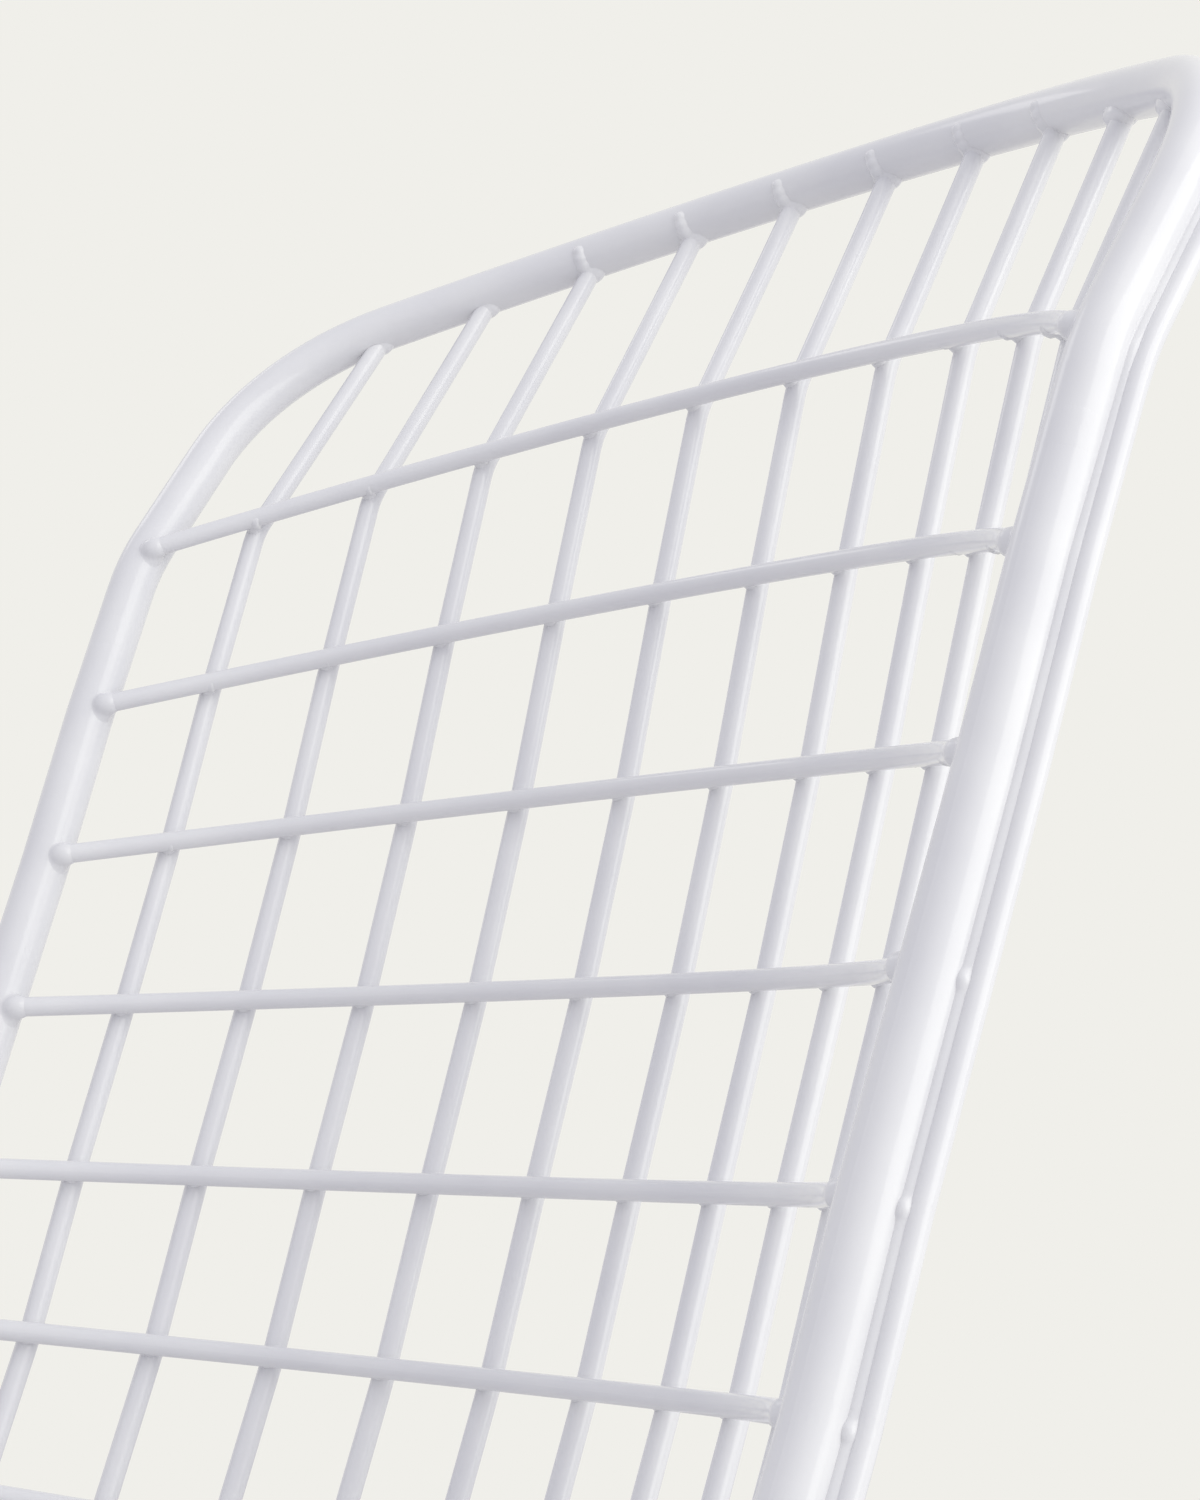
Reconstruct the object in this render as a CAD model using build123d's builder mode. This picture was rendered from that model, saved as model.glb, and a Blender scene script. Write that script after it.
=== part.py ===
"""Dining chair with a white wire shell on a bent-rod sled base, all welded."""
import os
from dataclasses import dataclass
from math import asin, atan2, cos, radians, sin, tan

from build123d import *

os.makedirs("parts", exist_ok=True)

# Rod and wire stock
RIM_DIAMETER = 14.0
LONG_WIRE_DIAMETER = 6.0
CROSS_DIAMETER = 5.5
STIFFENER_DIAMETER = 5.5
BASE_DIAMETER = 12.0

# Layout of the long wires across the shell
WIRE_COUNT = 10
RIM_STEP = 1.0

# Back: rows from the top rim down to the seventh cross wire, leans and tilts in degrees
BACK_HALF_WIDTH = 163.0
BACK_SAG = 88.5
BACK_GROWTH = 0.00033
FOURTH_WIRE_HEIGHT = 619.0
FOURTH_WIRE_BACKSET = 184.4
BACK_ROWS = [90.0, 62.0, 58.5, 58.0, 55.0, 50.0, 48.0]
BACK_LEANS = [30.0, 16.0, 15.0, 17.0, 19.2, 18.5, 22.0]
BACK_TILTS = [-28.0, -23.5, -17.0, -10.0, -2.5, 3.0, 8.0, 13.0]
CORNER_START = 0.77
CORNER_HALF_WIDTH = 177.2
CORNER_RADIUS = 82.0
RIM_KINK_RADIUS = 80.0
WIRE_KINK_RADIUS = 28.0
SHELL_RADIUS = 150.0
TOP_SEATING = -2.0
TOP_GATHER = 0.955
RIM_SEATING = 6.4
WIRE_SETBACK = 5.7
STIFFENER_TURNS = [18.0, 18.0, 16.0, 14.0, 12.0, 12.0, 12.0]
STIFFENER_KINK_RADIUS = 90.0
STIFFENER_CURL = 9.0
STIFFENER_TAIL = 3.0

# Bend between back and seat
BEND_OFFSET = 110.0
BEND_CHAMFER = 40.0
BEND_RADIUS = 45.0
RIM_BEND_RADIUS = 34.0
BEND_TILT = 16.0
BEND_HALF_WIDTH = 155.0
BEND_SAG = 84.0

# Seat, from the bend to its front edge
SEAT_RISE = 4.0
SEAT_FIRST = 25.0
SEAT_PITCH = 52.0
SEAT_WIRES = 6
SEAT_LENGTH = 320.0
SEAT_TILT = 32.0
SEAT_BACK_HALF_WIDTH = 170.0
SEAT_FRONT_HALF_WIDTH = 226.0
SEAT_SIDE_BOW = 18.0
SEAT_BACK_SAG = 68.0
SEAT_FRONT_SAG = 17.0
SEAT_SAG_DIP = 29.0

# Front lip of the seat
FRONT_DROP = 46.0
FRONT_LENGTH = 40.0
FRONT_BEND_RADIUS = 32.0
FRONT_SIDE_RADIUS = 15.0
FRONT_CORNER_RADIUS = 36.0
FRONT_OVERHANG = 2.5
LIP_HALF_WIDTH = 228.0
LIP_SAG = 12.0
LIP_SETBACK = 2.0

# Gaps left between welded pieces
WELD_GAP = 0.1
BUTT_GAP = 0.06
STIFFENER_GAPS = [0.6, 0.4, 0.3, 0.3, 0.3, 0.3, 0.3]

# Sled base
FLOOR_HALF_WIDTH = 240.0
RUNNER_FRONT = 403.0
RUNNER_BACK = 42.0
LEG_BEND_RADIUS = 45.0
FRONT_LEG_SEAT_WIRE = 5
REAR_LEG_SEAT_WIRE = 1
GLIDE_BASE = 4.0
GLIDE_LENGTH = 34.0
GLIDE_WIDTH = 18.0
GLIDE_CORNER_RADIUS = 3.0
GLIDE_INSET = 75.0
GLIDE_CLEARANCE = 0.05

X_AXIS = Vector(1, 0, 0)


@dataclass
class Level:
    """One arc across the shell, in a tilted plane, from edge to edge."""

    y: float
    z: float
    tilt: float
    half_width: float
    sag: float

    @property
    def inward(self):
        """Direction from the middle of the arc towards its centre."""
        return Vector(0, -cos(radians(self.tilt)), sin(radians(self.tilt)))

    @property
    def radius(self):
        """Radius of the arc."""
        return (self.half_width ** 2 + self.sag ** 2) / (2 * self.sag)

    def turn(self, share):
        """Angle from the middle of the arc, where share runs from -1 to 1."""
        return share * 2 * atan2(self.sag, self.half_width)

    def at(self, share, shrink=0.0, lift=0.0):
        """Point of the arc, moved by shrink towards its centre and by lift out of its plane."""
        turn = self.turn(share)
        reach = self.radius - shrink
        middle = Vector(0, self.y, self.z) + self.inward * self.radius
        out_of_plane = X_AXIS.cross(self.inward)
        return middle + X_AXIS * (reach * sin(turn)) - self.inward * (reach * cos(turn)) + out_of_plane * lift

    def along(self, share):
        """Direction of the arc, from left to right."""
        turn = self.turn(share)
        return X_AXIS * cos(turn) + self.inward * sin(turn)

    def share_short_of_edge(self, distance):
        """Share of the arc at a distance before its right edge."""
        return 1 - distance / (self.radius * self.turn(1))


def back_level(y, z, tilt):
    """Level of the back at a place on its middle line."""
    growth = 1 + BACK_GROWTH * (z - FOURTH_WIRE_HEIGHT)
    return Level(y, z, tilt, BACK_HALF_WIDTH * growth, BACK_SAG * growth)


def down_the_back():
    """Levels from the top rim down to the last cross wire of the back."""
    steps = [
        Vector(0, row * sin(radians(lean)), row * cos(radians(lean)))
        for row, lean in zip(BACK_ROWS, BACK_LEANS)
    ]
    place = Vector(0, FOURTH_WIRE_BACKSET, FOURTH_WIRE_HEIGHT)
    for step in steps[:4]:
        place += step
    levels = [back_level(place.Y, place.Z, BACK_TILTS[0])]
    for step, tilt in zip(steps, BACK_TILTS[1:]):
        place -= step
        levels.append(back_level(place.Y, place.Z, tilt))
    return levels


back = down_the_back()
sixth = back[6]
last_lean = radians(BACK_LEANS[-1])
down = Vector(0, -sin(last_lean), -cos(last_lean))
rise = radians(SEAT_RISE)
forward = Vector(0, -cos(rise), sin(rise))
seat_up = Vector(0, sin(rise), cos(rise))
heel = Vector(0, sixth.y, sixth.z) + down * BEND_OFFSET
bend_top = heel - down * BEND_CHAMFER
bend_end = heel + forward * BEND_CHAMFER
front_edge = bend_end + forward * SEAT_LENGTH
drop = radians(FRONT_DROP)
front_lip = front_edge + Vector(0, -cos(drop), -sin(drop)) * FRONT_LENGTH


def seat_level(distance):
    """Level of the seat at a distance forward of the bend."""
    share = distance / SEAT_LENGTH
    hump = share * (1 - share)
    place = bend_end + forward * distance
    tilt = SEAT_TILT + (90 - SEAT_TILT) * share
    widening = (SEAT_FRONT_HALF_WIDTH - SEAT_BACK_HALF_WIDTH) * share
    half_width = SEAT_BACK_HALF_WIDTH + widening + SEAT_SIDE_BOW * hump
    sag = SEAT_BACK_SAG + (SEAT_FRONT_SAG - SEAT_BACK_SAG) * share - SEAT_SAG_DIP * hump
    return Level(place.Y, place.Z, tilt, half_width, sag)


bend_high = Level(bend_top.Y, bend_top.Z, BEND_TILT, BEND_HALF_WIDTH, BEND_SAG)
bend_low = seat_level(0)
seat = [seat_level(SEAT_FIRST + SEAT_PITCH * number) for number in range(SEAT_WIRES)]
seat_front = seat_level(SEAT_LENGTH)
lip = Level(front_lip.Y, front_lip.Z, 90.0, LIP_HALF_WIDTH, LIP_SAG)

# Every level in order, from the top rim to the front lip
shell = back + [bend_high, bend_low] + seat + [seat_front, lip]


def wire_share(number):
    """Place of a long wire across the shell."""
    half_span = (WIRE_COUNT - 1) / 2
    return (number - half_span) / (half_span + RIM_STEP)


def shell_normal(index, share):
    """Direction out of the shell towards the sitter at a level."""
    above = shell[max(index - 1, 0)].at(share)
    below = shell[min(index + 1, len(shell) - 1)].at(share)
    across = shell[index].along(share)
    return across.cross((above - below).normalized()).normalized()


def lap(index, distance):
    """Shrink and lift that carry an arc a distance off the shell, in the middle and at its outer wires."""
    level = shell[index]
    out_of_plane = X_AXIS.cross(level.inward)
    outer = wire_share(WIRE_COUNT - 1)
    middle_normal = shell_normal(index, 0)
    outer_normal = shell_normal(index, outer)
    turn = level.turn(outer)
    outer_inward = level.inward * cos(turn) - X_AXIS * sin(turn)
    middle_shrink, middle_lift = level.inward.dot(middle_normal), out_of_plane.dot(middle_normal)
    outer_shrink, outer_lift = outer_inward.dot(outer_normal), out_of_plane.dot(outer_normal)
    determinant = middle_shrink * outer_lift - middle_lift * outer_shrink
    shrink = distance * (outer_lift - middle_lift) / determinant
    lift = distance * (middle_shrink - outer_shrink) / determinant
    return shrink, lift


def bent_rod(points, radii):
    """Draw straight runs joined by tangent arcs, one radius for each inner point."""
    start = points[0]
    for before, point, after, radius in zip(points, points[1:], points[2:], radii):
        into = (point - before).normalized()
        out = (after - point).normalized()
        half_turn = radians(into.get_angle(out)) / 2
        if half_turn < radians(0.2):
            continue
        reach = radius * tan(half_turn)
        arc_start = point - into * reach
        arc_end = point + out * reach
        arc_middle = point + (out - into).normalized() * (radius / cos(half_turn) - radius)
        Line(start, arc_start)
        ThreePointArc(arc_start, arc_middle, arc_end)
        start = arc_end
    Line(start, points[-1])


def mirrored(points):
    """The same points on the other side of the chair, in reverse order."""
    return [Vector(-point.X, point.Y, point.Z) for point in reversed(points)]


def save(part, name):
    """Label one piece and write it out."""
    part.label = name
    export_step(part, f"parts/{name}.step")


def make_rod(name, diameter, points, radii, coped_to=()):
    """Round rod along straight runs and bends, its ends hollowed to sit on other rods."""
    with BuildPart() as rod:
        with BuildLine() as path:
            bent_rod(points, radii)
        with BuildSketch(Plane(origin=path.line @ 0, z_dir=path.line % 0)):
            Circle(diameter / 2)
        sweep(path=path.wires()[0])
        for other in coped_to:
            add(other, mode=Mode.SUBTRACT)
    save(rod.part, name)


def rod_space(diameter, points, radii):
    """Room that a bent rod takes up, a little wider than the rod."""
    with BuildPart() as space:
        with BuildLine() as path:
            bent_rod(points, radii)
        with BuildSketch(Plane(origin=path.line @ 0, z_dir=path.line % 0)):
            Circle(diameter / 2 + WELD_GAP)
        sweep(path=path.wires()[0])
    return space.part


cross_lap = (LONG_WIRE_DIAMETER + CROSS_DIAMETER) / 2 + WELD_GAP
end_lap = (RIM_DIAMETER + LONG_WIRE_DIAMETER) / 2 + WELD_GAP
bend_indexes = (len(back), len(back) + 1)
seat_indexes = range(len(back) + 2, len(back) + 2 + SEAT_WIRES)


def rim_point(index, share):
    """Centre of the side rim, just past the end of a cross wire and behind it."""
    shrink, lift = lap(index, cross_lap)
    return shell[index].at(share, shrink, lift) - shell_normal(index, share) * RIM_SEATING


# Rim of the back: an arch with two rounded corners, butt-welded to two sides
top = shell[0]
side_indexes = list(range(1, len(back))) + [bend_indexes[0]]
right_side = [rim_point(index, 1) for index in side_indexes]
right_low = rim_point(bend_indexes[1], 1)
rim_joint = (right_side[-1] + right_low) * 0.5
joint_gap = (right_low - right_side[-1]).normalized() * WELD_GAP
arch_end = top.at(CORNER_START)
arch_way = top.along(CORNER_START)
corner = arch_end + arch_way * ((CORNER_HALF_WIDTH - arch_end.X) / arch_way.X)
arch_joint = (right_side[0] + right_side[1]) * 0.5
arch_gap = (right_side[1] - right_side[0]).normalized() * BUTT_GAP
arch_right = [arch_end, corner, right_side[0], arch_joint - arch_gap]
arch_radii = [CORNER_RADIUS, RIM_KINK_RADIUS]


def make_arch(diameter):
    """The arch of the top rim, drawn with a round section of any diameter."""
    with BuildPart() as arch:
        with BuildLine() as path:
            bent_rod(mirrored(arch_right), list(reversed(arch_radii)))
            ThreePointArc(top.at(-CORNER_START), top.at(0), arch_end)
            bent_rod(arch_right, arch_radii)
        with BuildSketch(Plane(origin=path.line @ 0, z_dir=path.line % 0)):
            Circle(diameter / 2)
        sweep(path=path.wires()[0])
    return arch.part


save(make_arch(RIM_DIAMETER), "rim_top")
arch_space = make_arch(RIM_DIAMETER + 2 * WELD_GAP)

side_right = [arch_joint] + right_side[1:] + [rim_joint - joint_gap]
side_radii = [SHELL_RADIUS] * (len(right_side) - 2) + [RIM_BEND_RADIUS]
make_rod("rim_side_right", RIM_DIAMETER, side_right, side_radii)
make_rod("rim_side_left", RIM_DIAMETER, mirrored(side_right), list(reversed(side_radii)))
side_spaces = [
    rod_space(RIM_DIAMETER, side_right, side_radii),
    rod_space(RIM_DIAMETER, mirrored(side_right), list(reversed(side_radii))),
]

# Rim of the seat: two sides and the front
lip_index = len(shell) - 1
front_corner = lip.at(1) - shell_normal(lip_index, 0) * LIP_SETBACK
right_seat = [rim_joint + joint_gap, right_low]
right_seat += [rim_point(index, 1) for index in seat_indexes] + [front_corner]
half_rim_radii = [RIM_BEND_RADIUS] + [SHELL_RADIUS] * (SEAT_WIRES - 1)
half_rim_radii += [FRONT_SIDE_RADIUS, FRONT_CORNER_RADIUS]
seat_rim = right_seat + mirrored(right_seat)
seat_rim_radii = half_rim_radii + list(reversed(half_rim_radii))
make_rod("rim_seat", RIM_DIAMETER, seat_rim, seat_rim_radii)
seat_rim_space = rod_space(RIM_DIAMETER, seat_rim, seat_rim_radii)

# Cross wires, lying on the sitter's side of the long wires
def make_cross_wire(name, index, rim_spaces):
    """One arc from rim to rim, its ends hollowed to sit against the inner sides of the rim."""
    shrink, lift = lap(index, cross_lap)
    edge = shell[index].share_short_of_edge(WIRE_SETBACK)
    left, middle, right = (shell[index].at(share, shrink, lift) for share in (-edge, 0, edge))
    with BuildPart() as wire:
        with BuildLine() as path:
            ThreePointArc(left, middle, right)
        with BuildSketch(Plane(origin=path.line @ 0, z_dir=path.line % 0)):
            Circle(CROSS_DIAMETER / 2)
        sweep(path=path.wires()[0])
        for space in rim_spaces:
            add(space, mode=Mode.SUBTRACT)
    save(wire.part, name)


make_cross_wire("back_cross_wire_1", 1, [arch_space])
for row in range(2, len(back)):
    make_cross_wire(f"back_cross_wire_{row}", row, side_spaces)
for row, index in enumerate(seat_indexes, start=1):
    make_cross_wire(f"seat_cross_wire_{row}", index, [seat_rim_space])

# Stiffening wires welded along the outside of the side rims, turned a little outward from the back,
# with their upper ends curling along the rounded corners
def stiffener_shift(index, turn_degrees, gap):
    """Step from the right side rim to its stiffening wire at a level."""
    turn = radians(turn_degrees)
    way = shell[index].along(1) * sin(turn) - shell_normal(index, 1) * cos(turn)
    return way * ((RIM_DIAMETER + STIFFENER_DIAMETER) / 2 + gap)


stiffener_places = zip(side_indexes, STIFFENER_TURNS, STIFFENER_GAPS)
stiffener_shifts = [stiffener_shift(*place) for place in stiffener_places]
rim_upward = (corner - right_side[0]).normalized()
corner_turn = radians(rim_upward.get_angle(-arch_way))
curl = radians(STIFFENER_CURL)
curl_reach = CORNER_RADIUS * tan(curl / 2)
curl_middle = corner - rim_upward * (CORNER_RADIUS * tan(corner_turn / 2) - curl_reach)
to_middle = (-arch_way - rim_upward * cos(corner_turn)).normalized()
curl_way = rim_upward * cos(curl) + to_middle * sin(curl)
curl_end = curl_middle + curl_way * (curl_reach + STIFFENER_TAIL)

stiffener_right = [point + stiffener_shifts[0] for point in (curl_end, curl_middle)]
stiffener_right += [point + shift for point, shift in zip(right_side, stiffener_shifts)]
stiffener_radii = [CORNER_RADIUS, STIFFENER_KINK_RADIUS] + [SHELL_RADIUS] * (len(stiffener_shifts) - 2)
make_rod("rim_stiffener_right", STIFFENER_DIAMETER, stiffener_right, stiffener_radii)
make_rod("rim_stiffener_left", STIFFENER_DIAMETER, mirrored(stiffener_right), list(reversed(stiffener_radii)))


def over_front_rim(start, rim):
    """Where a wire from the seat's front edge comes to lie on the front rim, and its direction."""
    to_rim = Vector(0, rim.Y - start.Y, rim.Z - start.Z)
    ahead = to_rim.normalized()
    above = ahead.cross(X_AXIS)
    swing = asin(end_lap / to_rim.length)
    way = ahead * cos(swing) + above * sin(swing)
    return start + way * (to_rim.length * cos(swing)), way


# Long wires, parted in the bend: ten up the back and ten along the seat
for number in range(WIRE_COUNT):
    share = wire_share(number)
    bend_point = (bend_high.at(share) + bend_low.at(share)) * 0.5
    bend_way = (bend_low.at(share) - bend_high.at(share)).normalized()
    top_share = share * TOP_GATHER
    top_end = top.at(top_share) + shell_normal(0, top_share) * TOP_SEATING
    back_points = [top_end]
    back_points += [shell[index].at(share) for index in range(1, len(back) + 1)]
    back_points += [bend_point - bend_way * WELD_GAP]
    back_radii = [WIRE_KINK_RADIUS] + [SHELL_RADIUS] * (len(back) - 2) + [BEND_RADIUS]
    make_rod(f"back_wire_{number + 1:02d}", LONG_WIRE_DIAMETER, back_points, back_radii, [arch_space])

    front_end, seat_way = over_front_rim(seat_front.at(share), front_corner)
    seat_points = [bend_point + bend_way * WELD_GAP, bend_low.at(share)]
    seat_points += [level.at(share) for level in seat] + [seat_front.at(share)]
    seat_points += [front_end + seat_way * FRONT_OVERHANG]
    seat_radii = [BEND_RADIUS] + [SHELL_RADIUS] * SEAT_WIRES + [FRONT_BEND_RADIUS]
    make_rod(f"seat_wire_{number + 1:02d}", LONG_WIRE_DIAMETER, seat_points, seat_radii)

# Sled base: two bent side frames, two rails under the seat, four glides
runner_height = GLIDE_BASE + BASE_DIAMETER / 2
front_y = FOURTH_WIRE_BACKSET - RUNNER_FRONT
back_y = FOURTH_WIRE_BACKSET + RUNNER_BACK
floor_front = Vector(FLOOR_HALF_WIDTH, front_y, runner_height)
floor_back = Vector(FLOOR_HALF_WIDTH, back_y, runner_height)
front_top = rim_point(seat_indexes[FRONT_LEG_SEAT_WIRE - 1], 1)
rear_top = rim_point(seat_indexes[REAR_LEG_SEAT_WIRE - 1], 1)
frame_right = [front_top, floor_front, floor_back, rear_top]
frame_left = mirrored(frame_right)
leg_radii = [LEG_BEND_RADIUS] * 2
make_rod("side_frame_right", BASE_DIAMETER, frame_right, leg_radii, [seat_rim_space])
make_rod("side_frame_left", BASE_DIAMETER, frame_left, leg_radii, [seat_rim_space])
frame_spaces = [rod_space(BASE_DIAMETER, points, leg_radii) for points in (frame_right, frame_left)]
rail_drop = (LONG_WIRE_DIAMETER + BASE_DIAMETER) / 2 + WELD_GAP


def make_rail(name, leg_start, leg_end):
    """Straight rod between the legs under the long wires, its ends hollowed to sit on the legs."""
    leg = leg_start - leg_end
    share = ((bend_end - leg_end).dot(seat_up) - rail_drop) / leg.dot(seat_up)
    right_end = leg_end + leg * share
    make_rod(name, BASE_DIAMETER, mirrored([right_end]) + [right_end], [], frame_spaces)


make_rail("rail_front", front_top, floor_front)
make_rail("rail_rear", rear_top, floor_back)


def make_glide(name, x, y):
    """Plastic shoe clipped under a runner."""
    with BuildPart() as glide:
        with BuildSketch(Plane.XZ.offset(-y - GLIDE_LENGTH / 2)):
            with Locations((x, runner_height / 2)):
                Rectangle(GLIDE_WIDTH, runner_height)
            with Locations((x, runner_height)):
                Circle(BASE_DIAMETER / 2 + GLIDE_CLEARANCE, mode=Mode.SUBTRACT)
        extrude(amount=GLIDE_LENGTH)
        fillet(glide.edges().filter_by(Axis.Z), GLIDE_CORNER_RADIUS)
    save(glide.part, name)


for side, x in (("left", -FLOOR_HALF_WIDTH), ("right", FLOOR_HALF_WIDTH)):
    make_glide(f"glide_front_{side}", x, front_y + GLIDE_INSET)
    make_glide(f"glide_rear_{side}", x, back_y - GLIDE_INSET)
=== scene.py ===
"""Looks of a white wire dining chair: paint, welds and glides on its fixed frame, with light and camera."""

import logging
import math
from dataclasses import dataclass, field
from enum import Enum

import bpy
from mathutils import Matrix, Vector


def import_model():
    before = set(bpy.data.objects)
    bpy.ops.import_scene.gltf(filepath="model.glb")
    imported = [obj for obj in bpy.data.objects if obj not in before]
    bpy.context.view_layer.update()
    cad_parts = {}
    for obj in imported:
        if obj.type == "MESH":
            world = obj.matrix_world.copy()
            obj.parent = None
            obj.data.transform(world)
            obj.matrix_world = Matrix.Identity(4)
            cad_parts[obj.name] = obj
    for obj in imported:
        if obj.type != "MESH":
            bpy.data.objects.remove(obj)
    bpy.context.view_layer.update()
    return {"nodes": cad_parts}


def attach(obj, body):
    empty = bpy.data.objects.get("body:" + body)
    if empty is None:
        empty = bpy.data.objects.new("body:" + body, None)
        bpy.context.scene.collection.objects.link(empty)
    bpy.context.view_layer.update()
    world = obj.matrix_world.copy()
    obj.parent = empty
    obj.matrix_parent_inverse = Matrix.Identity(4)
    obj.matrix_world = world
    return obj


LOG = logging.getLogger("wire_chair")
MM = 0.001
X_AXIS = Vector((1.0, 0.0, 0.0))
STUB_SIDES = 28
DROP_SEGMENTS = 20
DROP_RINGS = 12
Triple = tuple[float, float, float]


class Side(Enum):
    """Side of the chair, as seen from the front."""

    LEFT = -1
    RIGHT = 1

    @property
    def word(self) -> str:
        """The side's name in lower case."""
        return self.name.lower()

    def mirror(self, point: Vector) -> Vector:
        """A point or direction of the right side, carried over to this side."""
        return Vector((point.x * self.value, point.y, point.z))


class End(Enum):
    """End of the side frames at which a leg, a rail or a glide is."""

    FRONT = "front"
    REAR = "rear"


class Nodes:
    """Node tree built from named nodes."""

    def __init__(self, tree: bpy.types.NodeTree) -> None:
        """Start from an empty tree.

        Args:
            tree: The tree to fill.
        """
        self.tree = tree
        tree.nodes.clear()

    def add(self, kind: str, **values: object) -> bpy.types.Node:
        """Add a node and set its inputs by name.

        Args:
            kind: Blender's type name of the node.
            **values: Input names, with underscores for spaces, and their values.

        Returns:
            The new node.
        """
        node = self.tree.nodes.new(kind)
        for name, value in values.items():
            node.inputs[name.replace("_", " ")].default_value = value
        return node

    def link(self, output: bpy.types.NodeSocket, target: bpy.types.NodeSocket) -> None:
        """Join an output to an input."""
        self.tree.links.new(output, target)


class Surface(Nodes):
    """Node tree of one material, with its shader and the coordinates that its patterns read."""

    SPREAD_RANGE = (0.3, 0.7)
    TINT_RANGE = (0.35, 0.65)

    def __init__(self, name: str, **values: object) -> None:
        """Start a material.

        Args:
            name: Name of the material.
            **values: Shader inputs that are the same all over the surface.
        """
        self.material = bpy.data.materials.new(name)
        self.material.use_nodes = True
        super().__init__(self.material.node_tree)
        self.place = self.add("ShaderNodeTexCoord").outputs["Object"]
        self.shader = self.add("ShaderNodeBsdfPrincipled", **values)
        output = self.add("ShaderNodeOutputMaterial")
        self.link(self.shader.outputs["BSDF"], output.inputs["Surface"])

    def feed(self, output: bpy.types.NodeSocket, name: str) -> None:
        """Join an output to an input of the shader."""
        self.link(output, self.shader.inputs[name])

    def noise(self, scale: float, detail: float) -> bpy.types.NodeSocket:
        """Add a noise pattern.

        Args:
            scale: Clouds per metre.
            detail: Number of finer layers.

        Returns:
            The noise value.
        """
        node = self.add("ShaderNodeTexNoise", Scale=scale, Detail=detail)
        self.link(self.place, node.inputs["Vector"])
        return node.outputs["Fac"]

    def spread(self, value: bpy.types.NodeSocket, low: float, high: float) -> bpy.types.NodeSocket:
        """Spread a noise value over a range.

        Args:
            value: The noise value.
            low: Result where the noise is weak.
            high: Result where the noise is strong.

        Returns:
            The value in the new range.
        """
        weak, strong = self.SPREAD_RANGE
        node = self.add("ShaderNodeMapRange", From_Min=weak, From_Max=strong, To_Min=low, To_Max=high)
        self.link(value, node.inputs["Value"])
        return node.outputs["Result"]

    def tint(self, value: bpy.types.NodeSocket, low: Triple, high: Triple) -> bpy.types.NodeSocket:
        """Turn a noise value into a colour between two tints.

        Args:
            value: The noise value.
            low: Colour where the noise is weak.
            high: Colour where the noise is strong.

        Returns:
            The colour.
        """
        node = self.add("ShaderNodeValToRGB")
        for stop, position, colour in zip(node.color_ramp.elements, self.TINT_RANGE, (low, high)):
            stop.position = position
            stop.color = (*colour, 1.0)
        self.link(value, node.inputs["Fac"])
        return node.outputs["Color"]

    def relief(self, height: bpy.types.NodeSocket, strength: float, depth: float) -> None:
        """Give the surface a fine relief.

        Args:
            height: Height pattern.
            strength: Strength of the relief.
            depth: Depth of the relief.
        """
        bump = self.add("ShaderNodeBump", Strength=strength, Distance=depth)
        self.link(height, bump.inputs["Height"])
        self.feed(bump.outputs["Normal"], "Normal")


@dataclass(frozen=True)
class GlossPaint:
    """White gloss stove paint on steel rod, with a faint orange peel."""

    name: str = "white_gloss_paint"
    slot: str = "white_paint"
    deep_tint: Triple = (0.775, 0.775, 0.800)
    light_tint: Triple = (0.815, 0.815, 0.830)
    cloud_scale: float = 28.0
    cloud_detail: float = 3.0
    flow_scale: float = 112.0
    flow_detail: float = 2.0
    smooth: float = 0.16
    dull: float = 0.24
    peel_scale: float = 150.0
    peel_detail: float = 2.0
    peel_depth: float = 0.10 * MM
    peel_strength: float = 0.05
    specular: float = 0.35
    coat: float = 0.30
    coat_roughness: float = 0.06

    def material(self) -> bpy.types.Material:
        """Make the paint.

        Returns:
            The material.
        """
        paint = Surface(
            self.name,
            Specular_IOR_Level=self.specular,
            Coat_Weight=self.coat,
            Coat_Roughness=self.coat_roughness,
        )
        clouds = paint.noise(self.cloud_scale, self.cloud_detail)
        paint.feed(paint.tint(clouds, self.deep_tint, self.light_tint), "Base Color")
        flow = paint.noise(self.flow_scale, self.flow_detail)
        paint.feed(paint.spread(flow, self.smooth, self.dull), "Roughness")
        paint.relief(paint.noise(self.peel_scale, self.peel_detail), self.peel_strength, self.peel_depth)
        return paint.material


@dataclass(frozen=True)
class GlidePlastic:
    """Pale grey moulded plastic with a fine matt grain and rubbed patches."""

    name: str = "pale_glide_plastic"
    deep_tint: Triple = (0.50, 0.50, 0.51)
    light_tint: Triple = (0.60, 0.60, 0.60)
    cloud_scale: float = 90.0
    cloud_detail: float = 4.0
    smooth: float = 0.42
    dull: float = 0.60
    grain_scale: float = 1600.0
    grain_detail: float = 2.0
    grain_depth: float = 0.08 * MM
    grain_strength: float = 0.35

    def material(self) -> bpy.types.Material:
        """Make the plastic.

        Returns:
            The material.
        """
        plastic = Surface(self.name)
        clouds = plastic.noise(self.cloud_scale, self.cloud_detail)
        plastic.feed(plastic.tint(clouds, self.deep_tint, self.light_tint), "Base Color")
        plastic.feed(plastic.spread(clouds, self.smooth, self.dull), "Roughness")
        grain = plastic.noise(self.grain_scale, self.grain_detail)
        plastic.relief(grain, self.grain_strength, self.grain_depth)
        return plastic.material


def dress(names: list[str], material: bpy.types.Material, frame: dict) -> None:
    """Give frame nodes a finish.

    Args:
        names: Names of the nodes.
        material: The finish.
        frame: The loaded frame.
    """
    for name in names:
        mesh = frame["nodes"][name].data
        mesh.materials.clear()
        mesh.materials.append(material)
        LOG.info("dressed %s with %s", name, material.name)


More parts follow.
